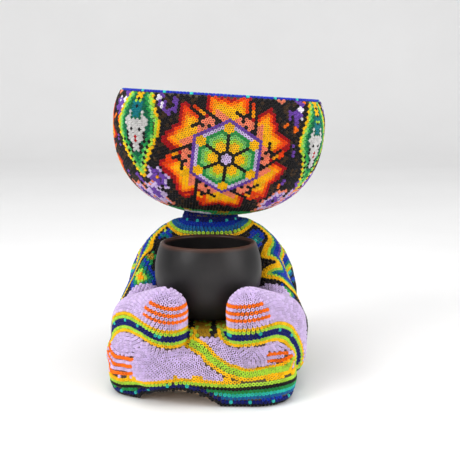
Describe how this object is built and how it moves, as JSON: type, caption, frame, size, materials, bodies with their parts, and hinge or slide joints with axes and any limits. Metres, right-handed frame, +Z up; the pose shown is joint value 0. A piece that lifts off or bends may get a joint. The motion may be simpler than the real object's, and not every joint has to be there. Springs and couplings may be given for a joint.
{
  "type": "huichol beaded figure",
  "caption": "Seated figure covered in coloured seed beads, with a beaded half-gourd bowl for a head and a loose black clay cup held between its hands.",
  "frame": {"origin": "on the floor plane, under the middle of the neck; the flat underside of the body core lies at z = 0", "axes": "+Z up, -Y towards the figure's front (its hands and the cup), +X towards the right seen from the front"},
  "size_m": [0.1375, 0.1751, 0.1796],
  "materials": {
    "clay": "burnished black clay, satin",
    "core": "bare, matte",
    "dowel": "bare wood",
    "gourd": "dried gourd, bare",
    "wax": "soft pine-resin wax, satin",
    "beads_royal_blue": "opaque glass seed beads",
    "beads_orange": "opaque glass seed beads",
    "beads_green": "opaque glass seed beads",
    "beads_dark_blue": "opaque glass seed beads",
    "beads_black": "opaque glass seed beads",
    "beads_blue": "opaque glass seed beads",
    "beads_lilac": "opaque glass seed beads",
    "beads_yellow": "opaque glass seed beads",
    "beads_lime": "opaque glass seed beads",
    "beads_gold": "opaque glass seed beads"
  },
  "bodies": {
    "figure": {"body_core": "core", "neck_dowel": "dowel", "gourd_bowl": "gourd", "bowl_wax_outside": "wax", "bowl_wax_inside": "wax", "body_wax": "wax", "bowl_rim_beads": "beads_royal_blue", "bowl_medallion_front": "beads_orange", "bowl_medallion_left": "beads_orange", "bowl_medallion_right": "beads_orange", "bowl_eye_panel_left": "beads_green", "bowl_eye_panel_right": "beads_green", "bowl_eye_panel_back": "beads_green", "bowl_foot_ring": "beads_green", "bowl_inside_beads": "beads_dark_blue", "collar_beads": "beads_dark_blue", "chest_beads": "beads_black", "back_beads": "beads_black", "sleeve_left_beads": "beads_blue", "sleeve_right_beads": "beads_blue", "hand_left_beads": "beads_lilac", "hand_right_beads": "beads_lilac", "cuff_left_beads": "beads_yellow", "cuff_right_beads": "beads_yellow", "foot_left_beads": "beads_lilac", "foot_right_beads": "beads_lilac", "shin_band_beads": "beads_lime", "hem_beads": "beads_green", "lap_beads": "beads_gold"},
    "cup": {"clay_cup": "clay"}
  },
  "joints": [
    {"name": "cup_lift", "type": "slide", "parent": "figure", "child": "cup", "axis": [0, -0.7431, 0.6691], "range_m": [0, 0.112]}
  ]
}
